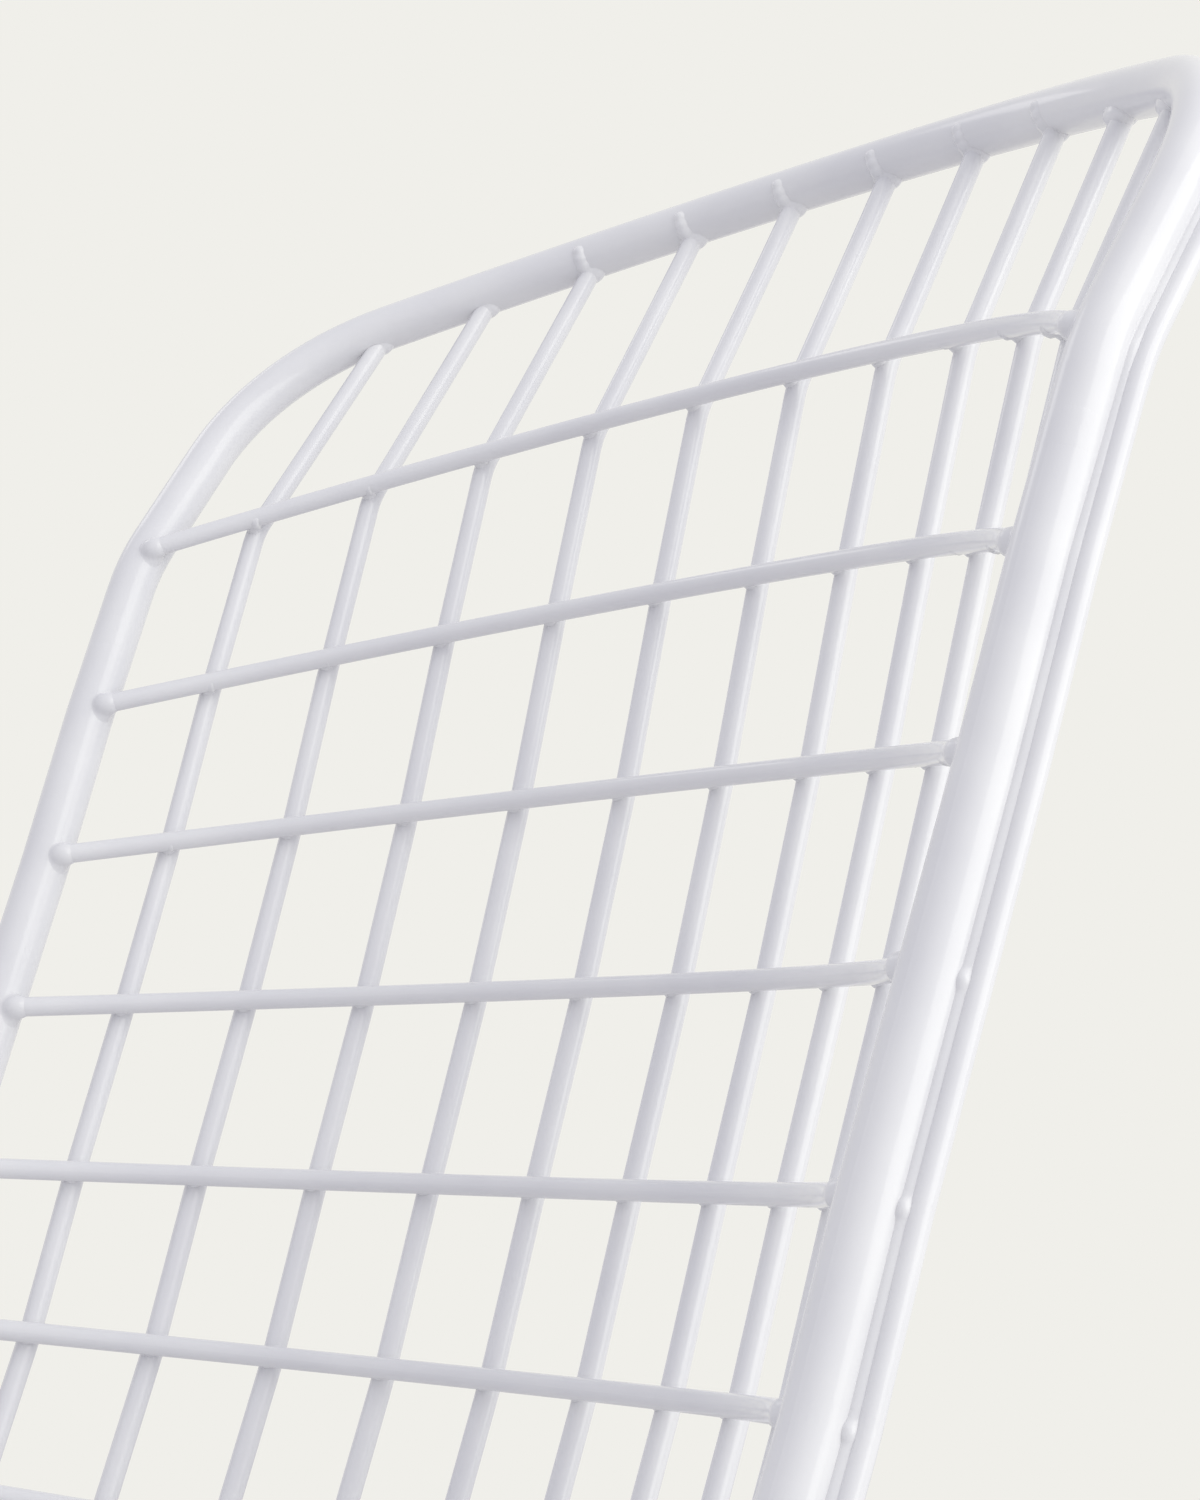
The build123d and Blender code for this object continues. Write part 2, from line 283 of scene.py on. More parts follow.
def join(name: str, pieces: list[bpy.types.Object]) -> bpy.types.Object:
    """Join meshes into one piece whose place is in its mesh.

    Args:
        name: Name of the joined piece.
        pieces: The meshes to join.

    Returns:
        The joined piece.
    """
    bpy.ops.object.select_all(action="DESELECT")
    for piece in pieces:
        piece.select_set(True)
    whole = pieces[0]
    bpy.context.view_layer.objects.active = whole
    if len(pieces) > 1:
        bpy.ops.object.join()
    whole.name = name
    whole.data.name = name
    bpy.ops.object.transform_apply(location=True, rotation=True, scale=True)
    return whole


@dataclass(frozen=True)
class Stub:
    """Short length of rod inside a weld."""

    start: Vector
    end: Vector
    radius: float

    def add(self) -> bpy.types.Object:
        """Add the stub as a cylinder.

        Returns:
            The cylinder.
        """
        way = self.end - self.start
        bpy.ops.object.select_all(action="DESELECT")
        bpy.ops.mesh.primitive_cylinder_add(
            vertices=STUB_SIDES,
            radius=self.radius,
            depth=way.length,
            location=(self.start + self.end) / 2,
            rotation=way.to_track_quat("Z", "Y").to_euler(),
        )
        return bpy.context.active_object


@dataclass(frozen=True)
class Drop:
    """Drop of weld metal, longer along one direction."""

    centre: Vector
    radius: float
    along: Vector = X_AXIS
    stretch: float = 1.0

    def add(self) -> bpy.types.Object:
        """Add the drop as a stretched ball.

        Returns:
            The ball.
        """
        bpy.ops.object.select_all(action="DESELECT")
        bpy.ops.mesh.primitive_uv_sphere_add(
            segments=DROP_SEGMENTS,
            ring_count=DROP_RINGS,
            radius=self.radius,
            location=self.centre,
            rotation=self.along.to_track_quat("Z", "Y").to_euler(),
            scale=(1.0, 1.0, self.stretch),
        )
        return bpy.context.active_object


@dataclass(frozen=True)
class Torch:
    """Melts stubs and drops into one smooth weld."""

    grain: float
    passes: int
    kept_share: float
    softness: float = 0.5

    def melt(self, name: str, stubs: list[Stub], drops: list[Drop]) -> bpy.types.Object:
        """Model one weld.

        Args:
            name: Name of the weld.
            stubs: Lengths of rod that meet in the weld, hidden inside the real rods.
            drops: Weld metal added to them.

        Returns:
            The weld's mesh.
        """
        weld = join(name, [part.add() for part in [*stubs, *drops]])
        melted = weld.modifiers.new("melted", "REMESH")
        melted.mode = "VOXEL"
        melted.voxel_size = self.grain
        flowed = weld.modifiers.new("flowed", "SMOOTH")
        flowed.factor = self.softness
        flowed.iterations = self.passes
        thinned = weld.modifiers.new("thinned", "DECIMATE")
        thinned.ratio = self.kept_share
        for modifier in ("melted", "flowed", "thinned"):
            bpy.ops.object.modifier_apply(modifier=modifier)
        bpy.ops.object.shade_smooth()
        return weld


def eased(path: list[Vector], radius: float) -> tuple[Vector, Vector]:
    """Find the middle of a rounded bend.

    Args:
        path: Three corners of a rod's path, with the bend at the second one.
        radius: Radius of the bend.

    Returns:
        The middle of the bend, and the rod's direction there.
    """
    into = (path[1] - path[0]).normalized()
    out = (path[2] - path[1]).normalized()
    half_turn = into.angle(out) / 2
    inside = (out - into).normalized()
    return path[1] + inside * radius * (1 / math.cos(half_turn) - 1), (into + out).normalized()


@dataclass
class Level:
    """One arc across the wire shell, in a tilted plane."""

    place: Vector
    tilt: float
    half_width: float
    sag: float

    @property
    def inward(self) -> Vector:
        """Direction from the middle of the arc towards its centre."""
        return Vector((0.0, -math.cos(math.radians(self.tilt)), math.sin(math.radians(self.tilt))))

    @property
    def radius(self) -> float:
        """Radius of the arc."""
        return (self.half_width ** 2 + self.sag ** 2) / (2 * self.sag)

    def turn(self, share: float) -> float:
        """Angle from the middle of the arc at a share of its half, from -1 to 1."""
        return share * 2 * math.atan2(self.sag, self.half_width)

    def at(self, share: float, shrink: float = 0.0, lift: float = 0.0) -> Vector:
        """Find a point of the arc.

        Args:
            share: Place along the arc, from -1 at the left to 1 at the right.
            shrink: Shift towards the centre of the arc.
            lift: Shift out of the arc's plane.

        Returns:
            The point.
        """
        turn = self.turn(share)
        reach = self.radius - shrink
        middle = self.place + self.inward * self.radius
        across = X_AXIS * (reach * math.sin(turn)) - self.inward * (reach * math.cos(turn))
        return middle + across + X_AXIS.cross(self.inward) * lift

    def along(self, share: float) -> Vector:
        """Direction of the arc from left to right."""
        turn = self.turn(share)
        return X_AXIS * math.cos(turn) + self.inward * math.sin(turn)


@dataclass
class WireShell:
    """Centre lines of the wires of back and seat, in metres and degrees."""

    rim_radius: float = 7.0 * MM
    long_radius: float = 3.0 * MM
    cross_radius: float = 2.75 * MM
    weld_gap: float = 0.1 * MM
    rim_seating: float = 6.4 * MM
    wire_setback: float = 5.7 * MM
    top_seating: float = -2.0 * MM
    top_gather: float = 0.955
    corner_start: float = 0.77
    corner_half_width: float = 177.2 * MM
    rim_kink_radius: float = 80.0 * MM
    wire_kink_radius: float = 28.0 * MM
    shell_radius: float = 150.0 * MM
    wire_count: int = 10
    back_half_width: float = 163.0 * MM
    back_sag: float = 88.5 * MM
    back_growth: float = 0.33
    # The fourth cross wire of the back, from which the others are measured: its depth and height
    fourth_row: int = 4
    fourth_wire: tuple[float, float] = (184.4 * MM, 619.0 * MM)
    rows_mm: tuple[float, ...] = (90.0, 62.0, 58.5, 58.0, 55.0, 50.0, 48.0)
    leans: tuple[float, ...] = (30.0, 16.0, 15.0, 17.0, 19.2, 18.5, 22.0)
    tilts: tuple[float, ...] = (-28.0, -23.5, -17.0, -10.0, -2.5, 3.0, 8.0, 13.0)
    heel_row: int = 6
    bend_offset: float = 110.0 * MM
    bend_chamfer: float = 40.0 * MM
    # Tilt, half width and sag of the arc at the upper end of the bend
    bend_arc: Triple = (16.0, 155.0 * MM, 84.0 * MM)
    seat_rise: float = 4.0
    seat_first: float = 25.0 * MM
    seat_pitch: float = 52.0 * MM
    seat_wires: int = 6
    seat_length: float = 320.0 * MM
    seat_tilt: float = 32.0
    front_tilt: float = 90.0
    # Sizes at the back and the front of the seat, and how far they swell between
    seat_half_widths: Triple = (170.0 * MM, 226.0 * MM, 18.0 * MM)
    seat_sags: Triple = (68.0 * MM, 17.0 * MM, -29.0 * MM)
    front_drop: float = 46.0
    front_length: float = 40.0 * MM
    # Half width and sag of the front lip
    lip_arc: tuple[float, float] = (228.0 * MM, 12.0 * MM)
    lip_setback: float = 2.0 * MM
    levels: list[Level] = field(init=False)
    forward: Vector = field(init=False)
    seat_up: Vector = field(init=False)
    bend_end: Vector = field(init=False)
    front_corner: Vector = field(init=False)
    back_indexes: range = field(init=False)
    seat_indexes: range = field(init=False)

    def __post_init__(self) -> None:
        """Lay out every level from the top rim to the front lip."""
        back = self._back_levels()
        lean = math.radians(self.leans[-1])
        rise = math.radians(self.seat_rise)
        drop = math.radians(self.front_drop)
        down = Vector((0.0, -math.sin(lean), -math.cos(lean)))
        self.forward = Vector((0.0, -math.cos(rise), math.sin(rise)))
        self.seat_up = Vector((0.0, math.sin(rise), math.cos(rise)))
        heel = back[self.heel_row].place + down * self.bend_offset
        self.bend_end = heel + self.forward * self.bend_chamfer
        bend_high = Level(heel - down * self.bend_chamfer, *self.bend_arc)
        seat = [self._seat_level(self.seat_first + self.seat_pitch * row) for row in range(self.seat_wires)]
        front = self._seat_level(self.seat_length)
        lip_place = front.place + Vector((0.0, -math.cos(drop), -math.sin(drop))) * self.front_length
        lip = Level(lip_place, self.front_tilt, *self.lip_arc)
        self.levels = [*back, bend_high, self._seat_level(0.0), *seat, front, lip]
        self.back_indexes = range(1, len(back))
        self.seat_indexes = range(len(back) + 2, len(back) + 2 + self.seat_wires)
        self.front_corner = lip.at(1) - self.normal(len(self.levels) - 1, 0) * self.lip_setback

    def _back_levels(self) -> list[Level]:
        """Lay out the levels of the back.

        Returns:
            The levels, from the top rim to the back's last cross wire.
        """
        steps = [
            Vector((0.0, math.sin(math.radians(lean)), math.cos(math.radians(lean)))) * row * MM
            for row, lean in zip(self.rows_mm, self.leans)
        ]
        place = sum(steps[:self.fourth_row], Vector((0.0, *self.fourth_wire)))
        levels = []
        for step, tilt in zip([Vector(), *steps], self.tilts):
            place = place - step
            growth = 1 + self.back_growth * (place.z - self.fourth_wire[1])
            levels.append(Level(place, tilt, self.back_half_width * growth, self.back_sag * growth))
        return levels

    def _seat_level(self, distance: float) -> Level:
        """Lay out a level of the seat.

        Args:
            distance: Distance forward of the bend.

        Returns:
            The level.
        """
        share = distance / self.seat_length
        hump = share * (1 - share)

        def spread(sizes: Triple) -> float:
            """Size part of the way from back to front, with a hump between."""
            return sizes[0] + (sizes[1] - sizes[0]) * share + sizes[2] * hump

        tilt = self.seat_tilt + (self.front_tilt - self.seat_tilt) * share
        place = self.bend_end + self.forward * distance
        return Level(place, tilt, spread(self.seat_half_widths), spread(self.seat_sags))

    def share(self, number: int) -> float:
        """Place of a long wire across the shell, counted from 0 at the left."""
        half_span = (self.wire_count - 1) / 2
        return (number - half_span) / (half_span + 1)

    def normal(self, index: int, share: float) -> Vector:
        """Find the direction out of the shell towards the sitter.

        Args:
            index: Level of the shell.
            share: Place across the shell.

        Returns:
            The direction.
        """
        above = self.levels[max(index - 1, 0)].at(share)
        below = self.levels[min(index + 1, len(self.levels) - 1)].at(share)
        return self.levels[index].along(share).cross(above - below).normalized()

    def lap(self, index: int, distance: float) -> tuple[float, float]:
        """Find how far a cross wire stands off the long wires.

        Args:
            index: Level of the cross wire.
            distance: Distance between the wires' centre lines.

        Returns:
            Shrink and lift of the cross wire's arc.
        """
        level = self.levels[index]
        outer = self.share(self.wire_count - 1)
        turn = level.turn(outer)
        out_of_plane = X_AXIS.cross(level.inward)
        outer_inward = level.inward * math.cos(turn) - X_AXIS * math.sin(turn)
        middle_normal, outer_normal = self.normal(index, 0), self.normal(index, outer)
        middle_shrink, middle_lift = level.inward.dot(middle_normal), out_of_plane.dot(middle_normal)
        outer_shrink, outer_lift = outer_inward.dot(outer_normal), out_of_plane.dot(outer_normal)
        determinant = middle_shrink * outer_lift - middle_lift * outer_shrink
        shrink = distance * (outer_lift - middle_lift) / determinant
        lift = distance * (middle_shrink - outer_shrink) / determinant
        return shrink, lift

    def cross(self, index: int, share: float) -> Vector:
        """Point on a cross wire's centre line."""
        distance = self.long_radius + self.cross_radius + self.weld_gap
        return self.levels[index].at(share, *self.lap(index, distance))

    def cross_end(self, index: int, side: Side) -> Vector:
        """End of a cross wire, against the inner side of the rim."""
        level = self.levels[index]
        return self.cross(index, side.value * (1 - self.wire_setback / (level.radius * level.turn(1))))

    def rim(self, index: int, side: Side) -> Vector:
        """Find a corner of the side rim's path.

        Args:
            index: Level of the shell; 0 is the rounded corner of the top rim.
            side: Side of the chair.

        Returns:
            The corner, just past the end of a cross wire and behind it.
        """
        if index == 0:
            start, way = self.levels[0].at(self.corner_start), self.levels[0].along(self.corner_start)
            return side.mirror(start + way * ((self.corner_half_width - start.x) / way.x))
        if index > self.seat_indexes[-1]:
            return side.mirror(self.front_corner)
        return self.cross(index, side.value) - self.normal(index, side.value) * self.rim_seating

    def outward(self, index: int, side: Side) -> Vector:
        """Direction in which a cross wire ends at a side."""
        return self.levels[index].along(side.value) * side.value

    def rim_bend(self, index: int, side: Side) -> tuple[Vector, Vector]:
        """Middle of the side rim's bend at a level, and the rim's direction there."""
        path = [self.rim(index + step, side) for step in (-1, 0, 1)]
        return eased(path, self.rim_kink_radius if index == 1 else self.shell_radius)

    def wire_end(self, share: float) -> Vector:
        """End of a long wire's centre line, inside the top rim."""
        share = share * self.top_gather
        return self.levels[0].at(share) + self.normal(0, share) * self.top_seating

    def wire_bend(self, index: int, share: float) -> tuple[Vector, Vector]:
        """Find the middle of a long wire's bend.

        Args:
            index: Level of the shell.
            share: Place of the wire across the shell.

        Returns:
            The middle of the bend, and the wire's direction there.
        """
        path = [self.levels[index + step].at(share) for step in (-1, 0, 1)]
        if index == 1:
            return eased([self.wire_end(share), *path[1:]], self.wire_kink_radius)
        return eased(path, self.shell_radius)


@dataclass
class WireGrid:
    """The long wires and cross wires of back and seat, with a spot weld at every crossing."""

    shell: WireShell
    torch: Torch = Torch(0.3 * MM, 12, 0.05)
    stub_length: float = 2.6 * MM
    skin: float = 0.35 * MM
    nugget_radius: float = 2.3 * MM
    nugget_stretch: float = 1.2

    def areas(self) -> dict[str, range]:
        """Levels of the cross wires of back and seat."""
        return {"back": self.shell.back_indexes, "seat": self.shell.seat_indexes}

    def names(self) -> list[str]:
        """List the wires' nodes.

        Returns:
            The names of all long wires, then of all cross wires.
        """
        long_wires = range(1, self.shell.wire_count + 1)
        names = [f"{area}_wire_{number:02d}" for area in self.areas() for number in long_wires]
        for area, indexes in self.areas().items():
            names += [f"{area}_cross_wire_{row}" for row in range(1, len(indexes) + 1)]
        return names

    def spot_weld(self) -> bpy.types.Object:
        """Model one spot weld, the long wire along Y and the cross wire along X above it.

        Returns:
            The weld at the origin.
        """
        shell = self.shell
        height = Vector((0.0, 0.0, shell.long_radius + shell.cross_radius + shell.weld_gap))
        reach_y = Vector((0.0, self.stub_length, 0.0))
        reach_x = X_AXIS * self.stub_length
        stubs = [
            Stub(-reach_y, reach_y, shell.long_radius - self.skin),
            Stub(height - reach_x, height + reach_x, shell.cross_radius - self.skin),
        ]
        nugget_place = Vector((0.0, 0.0, shell.long_radius))
        nugget = Drop(nugget_place, self.nugget_radius, reach_y, self.nugget_stretch)
        return self.torch.melt("spot_weld", stubs, [nugget])

    def build(self) -> list[bpy.types.Object]:
        """Copy the spot weld to every crossing.

        Returns:
            One piece for the back and one for the seat.
        """
        pattern = self.spot_weld()
        shares = [self.shell.share(number) for number in range(self.shell.wire_count)]
        pieces = []
        for area, indexes in self.areas().items():
            copies = [self.copy_to(pattern, index, share) for index in indexes for share in shares]
            pieces.append(join(f"spot_welds_{area}", copies))
        bpy.data.objects.remove(pattern)
        return pieces

    def copy_to(self, pattern: bpy.types.Object, index: int, share: float) -> bpy.types.Object:
        """Copy the spot weld to one crossing.

        Args:
            pattern: The weld at the origin.
            index: Level of the cross wire.
            share: Place of the long wire.

        Returns:
            The copy.
        """
        middle, along = self.shell.wire_bend(index, share)
        along = -along
        normal = self.shell.levels[index].along(share).cross(along).normalized()
        across = along.cross(normal)
        copy = pattern.copy()
        copy.data = pattern.data.copy()
        bpy.context.scene.collection.objects.link(copy)
        turn = Matrix((across, along, normal)).transposed().to_4x4()
        copy.matrix_world = Matrix.Translation(middle) @ turn
        return copy


@dataclass
class RimWelds:
    """Welds of the wires' ends on a rim of the shell."""

    shell: WireShell
    torch: Torch = Torch(0.35 * MM, 14, 0.3)
    soft_torch: Torch = Torch(0.45 * MM, 22, 0.35)
    skin: float = 0.15 * MM
    long_stub: float = 9.0 * MM
    cross_stub: float = 6.3 * MM
    rim_reach: float = 6.0 * MM
    end_radius: float = 3.5 * MM
    end_sink: float = 0.2 * MM
    end_stretch: float = 1.2
    puddle_radius: float = 3.7 * MM
    puddle_offset: float = 5.3 * MM
    puddle_stretch: float = 1.45

    def rim_stub(self, centre: Vector, way: Vector) -> Stub:
        """Length of the rim inside a weld."""
        reach = way.normalized() * self.rim_reach
        return Stub(centre - reach, centre + reach, self.shell.rim_radius - self.skin)

    def end_weld(self, index: int, side: Side) -> bpy.types.Object:
        """Weld a cross wire's end to the side rim.

        Args:
            index: Level of the cross wire.
            side: Side of the chair.

        Returns:
            The weld.
        """
        shell = self.shell
        end = shell.cross_end(index, side)
        outward = shell.outward(index, side)
        normal = shell.normal(index, side.value)
        rim, way = shell.rim_bend(index, side)
        wire = Stub(end - outward * self.cross_stub, end, shell.cross_radius - self.skin)
        cap = Drop(end - normal * self.end_sink, self.end_radius, outward, self.end_stretch)
        puddle_place = rim + (normal - outward).normalized() * self.puddle_offset
        puddle = Drop(puddle_place, self.puddle_radius, way, self.puddle_stretch)
        stubs = [wire, self.rim_stub(rim, way)]
        return self.soft_torch.melt(f"end_weld_{index}_{side.word}", stubs, [cap, puddle])


@dataclass
class BackRim(RimWelds):
    """Top rim, side rims and stiffening wires of the back, with the welds on them."""

    collar_radius: float = 3.7 * MM
    collar_drop: float = 5.7 * MM
    collar_stretch: float = 1.3
    bead_wires: range = range(8, 10)
    bead_radius: float = 3.7 * MM
    bead_drop: float = 7.6 * MM
    bead_lift: float = 1.2 * MM
    bead_stretch: float = 1.8
    tongue_wires: range = range(2, 8)
    tongue_steps: int = 4
    tongue_radius: float = 3.0 * MM
    tongue_taper: float = 0.3 * MM
    tongue_sink: float = 0.4
    tongue_start: float = -95.0
    tongue_turn: float = 22.0
    tongue_slip: float = 0.6 * MM
    tongue_slip_step: float = 0.5 * MM
    joint_height: float = 0.06 * MM
    stiffener_gap: float = 0.3 * MM
    stiffener_turns: tuple[float, ...] = (18.0, 18.0, 16.0, 14.0, 12.0, 12.0, 12.0)
    stiffener_rise: float = 50.0 * MM
    nose_radii: tuple[float, ...] = (3.0 * MM, 2.7 * MM, 2.1 * MM)
    nose_step: float = 2.0 * MM
    nose_slope: float = 0.6
    nose_stretch: float = 1.2
    seam_radius: float = 2.7 * MM
    first_tack: int = 3
    tack_radius: float = 2.0 * MM
    tack_offset: float = 1.7 * MM
    tack_stretch: float = 1.3

    def names(self) -> list[str]:
        """Names of the rim's nodes."""
        sides = [f"rim_{part}_{side.word}" for part in ("side", "stiffener") for side in Side]
        return ["rim_top", *sides]

    def top_weld(self, number: int) -> bpy.types.Object:
        """Weld a long wire's end to the underside of the top rim.

        Args:
            number: Long wire, counted from 0 at the left.

        Returns:
            The weld.
        """
        shell = self.shell
        share = shell.share(number)
        top_share = share * shell.top_gather
        rim, across = shell.levels[0].at(top_share), shell.levels[0].along(top_share)
        end = shell.wire_end(share)
        up = (end - shell.levels[1].at(share)).normalized()
        normal = shell.normal(0, top_share)
        wire = Stub(end - up * self.long_stub, end, shell.long_radius - self.skin)
        drops = [Drop(end - up * self.collar_drop, self.collar_radius, across, self.collar_stretch)]
        if number in self.bead_wires:
            bead_place = end - up * self.bead_drop + normal * self.bead_lift
            drops.append(Drop(bead_place, self.bead_radius, across, self.bead_stretch))
        if number in self.tongue_wires:
            drops += self.tongue(rim, across, up, normal)
        return self.torch.melt(f"top_weld_{number + 1}", [wire, self.rim_stub(rim, across)], drops)

    def tongue(self, rim: Vector, across: Vector, up: Vector, normal: Vector) -> list[Drop]:
        """Run weld metal from the underside of the top rim up its face.

        Args:
            rim: Point on the rim's centre line.
            across: Direction of the rim.
            up: Direction of the long wire.
            normal: Direction towards the sitter.

        Returns:
            Drops that get smaller upward and slip a little aside.
        """
        drops = []
        for step in range(self.tongue_steps):
            turn = math.radians(self.tongue_start + self.tongue_turn * step)
            radius = self.tongue_radius - self.tongue_taper * step
            face = normal * math.cos(turn) + up * math.sin(turn)
            aside = across * (self.tongue_slip + self.tongue_slip_step * step)
            height = self.shell.rim_radius - radius * self.tongue_sink
            drops.append(Drop(rim + face * height - aside, radius))
        return drops

    def joint_weld(self, side: Side) -> bpy.types.Object:
        """Weld the top rim to a side rim end to end, dressed almost flush.

        Args:
            side: Side of the chair.

        Returns:
            The weld.
        """
        high, low = self.shell.rim(1, side), self.shell.rim(2, side)
        reach = (low - high).normalized() * self.rim_reach
        middle = (high + low) / 2
        ring = Stub(middle - reach, middle + reach, self.shell.rim_radius + self.joint_height)
        return self.soft_torch.melt(f"joint_weld_{side.word}", [ring], [])

    def seam(self, index: int, side: Side) -> tuple[Vector, Vector]:
        """Find the seam between side rim and stiffening wire at a level.

        Args:
            index: Level of the shell.
            side: Side of the chair.

        Returns:
            The middle of the seam, and the direction across it.
        """
        rim, way = self.shell.rim_bend(index, side)
        turn = math.radians(self.stiffener_turns[index - 1])
        normal, outward = self.shell.normal(index, side.value), self.shell.outward(index, side)
        away = outward * math.sin(turn) - normal * math.cos(turn)
        return rim + away * (self.shell.rim_radius + self.stiffener_gap / 2), way.cross(away).normalized()

    def stiffener_nose(self, side: Side, upward: Vector, away: Vector) -> list[Drop]:
        """Close the upper end of a stiffening wire with weld metal that runs out on the rim.

        Args:
            side: Side of the chair.
            upward: Direction of the side rim towards the rounded corner.
            away: Direction from the rim to the stiffening wire.

        Returns:
            Drops that get smaller from the wire's end towards the rim.
        """
        wire = bpy.data.objects[f"rim_stiffener_{side.word}"]
        places = [vertex.co for vertex in wire.data.vertices]
        highest = max(place.dot(upward) for place in places)
        end_face = [place for place in places if place.dot(upward) > highest - self.nose_step]
        middle = sum(end_face, Vector()) / len(end_face)
        step = (upward - away * self.nose_slope) * self.nose_step
        return [
            Drop(middle + step * number, radius, upward, self.nose_stretch)
            for number, radius in enumerate(self.nose_radii)
        ]

    def seam_fill(self, side: Side) -> bpy.types.Object:
        """Close the seam between side rim and stiffening wire, as weld metal and paint do.

        Args:
            side: Side of the chair.

        Returns:
            The filling, with a nose at its upper end and small tacks at the lower cross wires.
        """
        indexes = self.shell.back_indexes
        points = [self.seam(index, side)[0] for index in indexes]
        upward = (self.shell.rim(0, side) - self.shell.rim(1, side)).normalized()
        away = (points[0] - self.shell.rim_bend(indexes[0], side)[0]).normalized()
        drops = self.stiffener_nose(side, upward, away)
        points.insert(0, points[0] + upward * self.stiffener_rise)
        points.insert(0, drops[0].centre - away * self.seam_radius)
        strips = [Stub(start, end, self.seam_radius) for start, end in zip(points, points[1:])]
        for index, strip in zip(indexes[self.first_tack:], strips[self.first_tack:]):
            middle, flank = self.seam(index, side)
            for offset in (-self.tack_offset, self.tack_offset):
                place = middle + flank * offset
                drops.append(Drop(place, self.tack_radius, strip.end - strip.start, self.tack_stretch))
        return self.soft_torch.melt(f"seam_stiffener_{side.word}", strips, drops)

    def build(self) -> list[bpy.types.Object]:
        """Model all welds of the back's rim.

        Returns:
            The pieces: the top rim's welds, and the end welds and seam filling of each side.
        """
        pieces = [join("welds_top_rim", [self.top_weld(number) for number in range(self.shell.wire_count)])]
        for side in Side:
            welds = [self.end_weld(index, side) for index in self.shell.back_indexes]
            pieces.append(join(f"welds_side_rim_{side.word}", [*welds, self.joint_weld(side)]))
            pieces.append(self.seam_fill(side))
        return pieces


@dataclass
class SeatRim(RimWelds):
    """Rim of the seat, with the welds of the seat's wires on it."""

    overhang: float = 2.5 * MM
    cap_sink: float = 1.0 * MM
    cap_stretch: float = 0.9

    def names(self) -> list[str]:
        """Name of the rim's node."""
        return ["rim_seat"]

    def front_weld(self, number: int) -> bpy.types.Object:
        """Weld a long wire of the seat to the front of the rim.

        Args:
            number: Long wire, counted from 0 at the left.

        Returns:
            The weld.
        """
        shell = self.shell
        start = shell.levels[-2].at(shell.share(number))
        rim = Vector((start.x, shell.front_corner.y, shell.front_corner.z))
        to_rim = rim - start
        lap = shell.rim_radius + shell.long_radius + shell.weld_gap
        ahead = to_rim.normalized()
        swing = math.asin(lap / to_rim.length)
        way = ahead * math.cos(swing) + ahead.cross(X_AXIS) * math.sin(swing)
        end = start + way * (to_rim.length * math.cos(swing) + self.overhang)
        wire = Stub(end - way * self.long_stub, end, shell.long_radius - self.skin)
        face = (end - rim).normalized()
        cap = Drop(end - face * self.cap_sink, self.end_radius, face, self.cap_stretch)
        return self.torch.melt(f"front_weld_{number + 1}", [wire, self.rim_stub(rim, X_AXIS)], [cap])

    def build(self) -> list[bpy.types.Object]:
        """Model all welds of the seat's rim.

        Returns:
            The pieces: the front's welds and the end welds of each side.
        """
        front_welds = [self.front_weld(number) for number in range(self.shell.wire_count)]
        pieces = [join("welds_front_rim", front_welds)]
        for side in Side:
            ends = [self.end_weld(index, side) for index in self.shell.seat_indexes]
            pieces.append(join(f"welds_seat_rim_{side.word}", ends))
        return pieces


